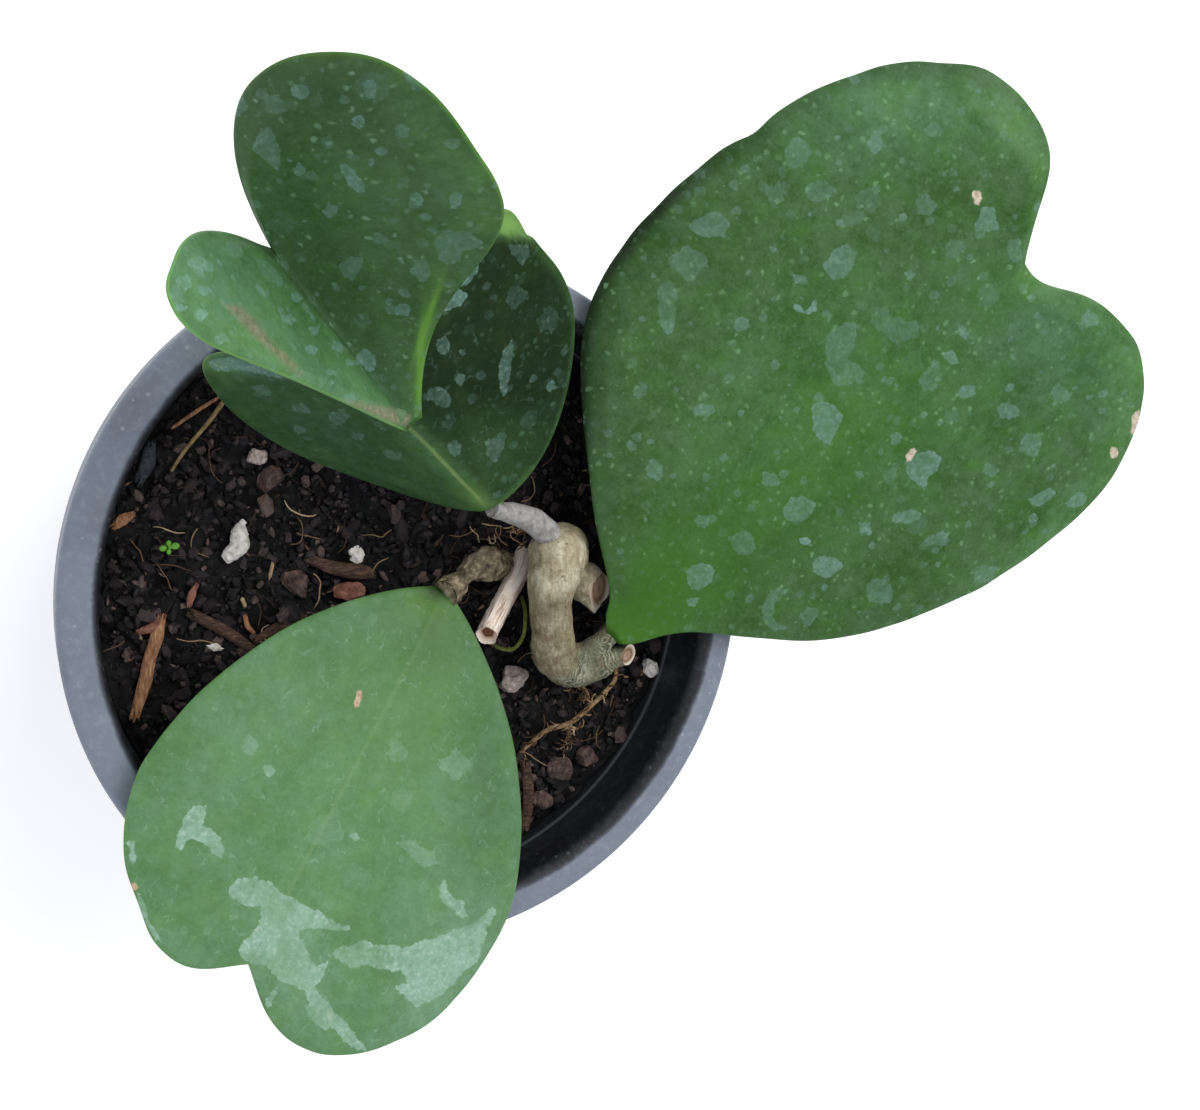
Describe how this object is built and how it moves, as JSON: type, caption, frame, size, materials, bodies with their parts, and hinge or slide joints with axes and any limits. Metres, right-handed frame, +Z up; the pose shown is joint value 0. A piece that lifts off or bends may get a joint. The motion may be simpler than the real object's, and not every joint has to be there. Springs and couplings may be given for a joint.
{
  "type": "potted sweetheart hoya",
  "caption": "Young potted hoya: round charcoal nursery pot of dark potting mix, a short woody stem and thick waxy heart-shaped leaves on short stalks.",
  "frame": {"origin": "centre of the pot's flat underside", "axes": "+Z up along the pot's axis; +X to the right and +Y to the back as the picture sees it, so the largest leaf points to +X +Y and the lightest one to -X -Y"},
  "size_m": [0.2039, 0.177, 0.1883],
  "materials": {
    "pot_plastic": "satin charcoal",
    "potting_mix": "matte, crumbly",
    "woody_bark": "smooth olive bark",
    "young_bark": "silvery grey bark",
    "dry_wood": "dry and fibrous",
    "rough_bark": "knobbly and mossy",
    "leaf_green": "waxy, water-stained",
    "leaf_light_green": "waxy, water-stained",
    "fine_root": "matte",
    "tendril_green": "matte",
    "straw": "matte",
    "seedling_green": "fresh green",
    "perlite": "matte",
    "pebble": "matte",
    "bark_chip": "matte",
    "red_bark": "matte",
    "wood_sliver": "matte"
  },
  "bodies": {
    "root": {"pot": "pot_plastic", "soil": "potting_mix", "woody_stem": "woody_bark", "young_stem": "young_bark", "dry_stub": "dry_wood", "rough_petiole": "rough_bark", "leaf_right": "leaf_green", "leaf_front": "leaf_light_green", "leaf_upper": "leaf_green", "leaf_under": "leaf_green", "surface_root": "fine_root", "tendril": "tendril_green", "straw": "straw", "seedling": "seedling_green", "perlite_1": "perlite", "perlite_2": "perlite", "perlite_3": "perlite", "perlite_4": "perlite", "stone_1": "pebble", "bark_1": "bark_chip", "bark_2": "bark_chip", "bark_3": "bark_chip", "bark_4": "bark_chip", "bark_5": "bark_chip", "bark_6": "red_bark", "wood_stick": "bark_chip", "wood_sliver": "wood_sliver", "dark_sliver": "bark_chip"}
  },
  "joints": []
}
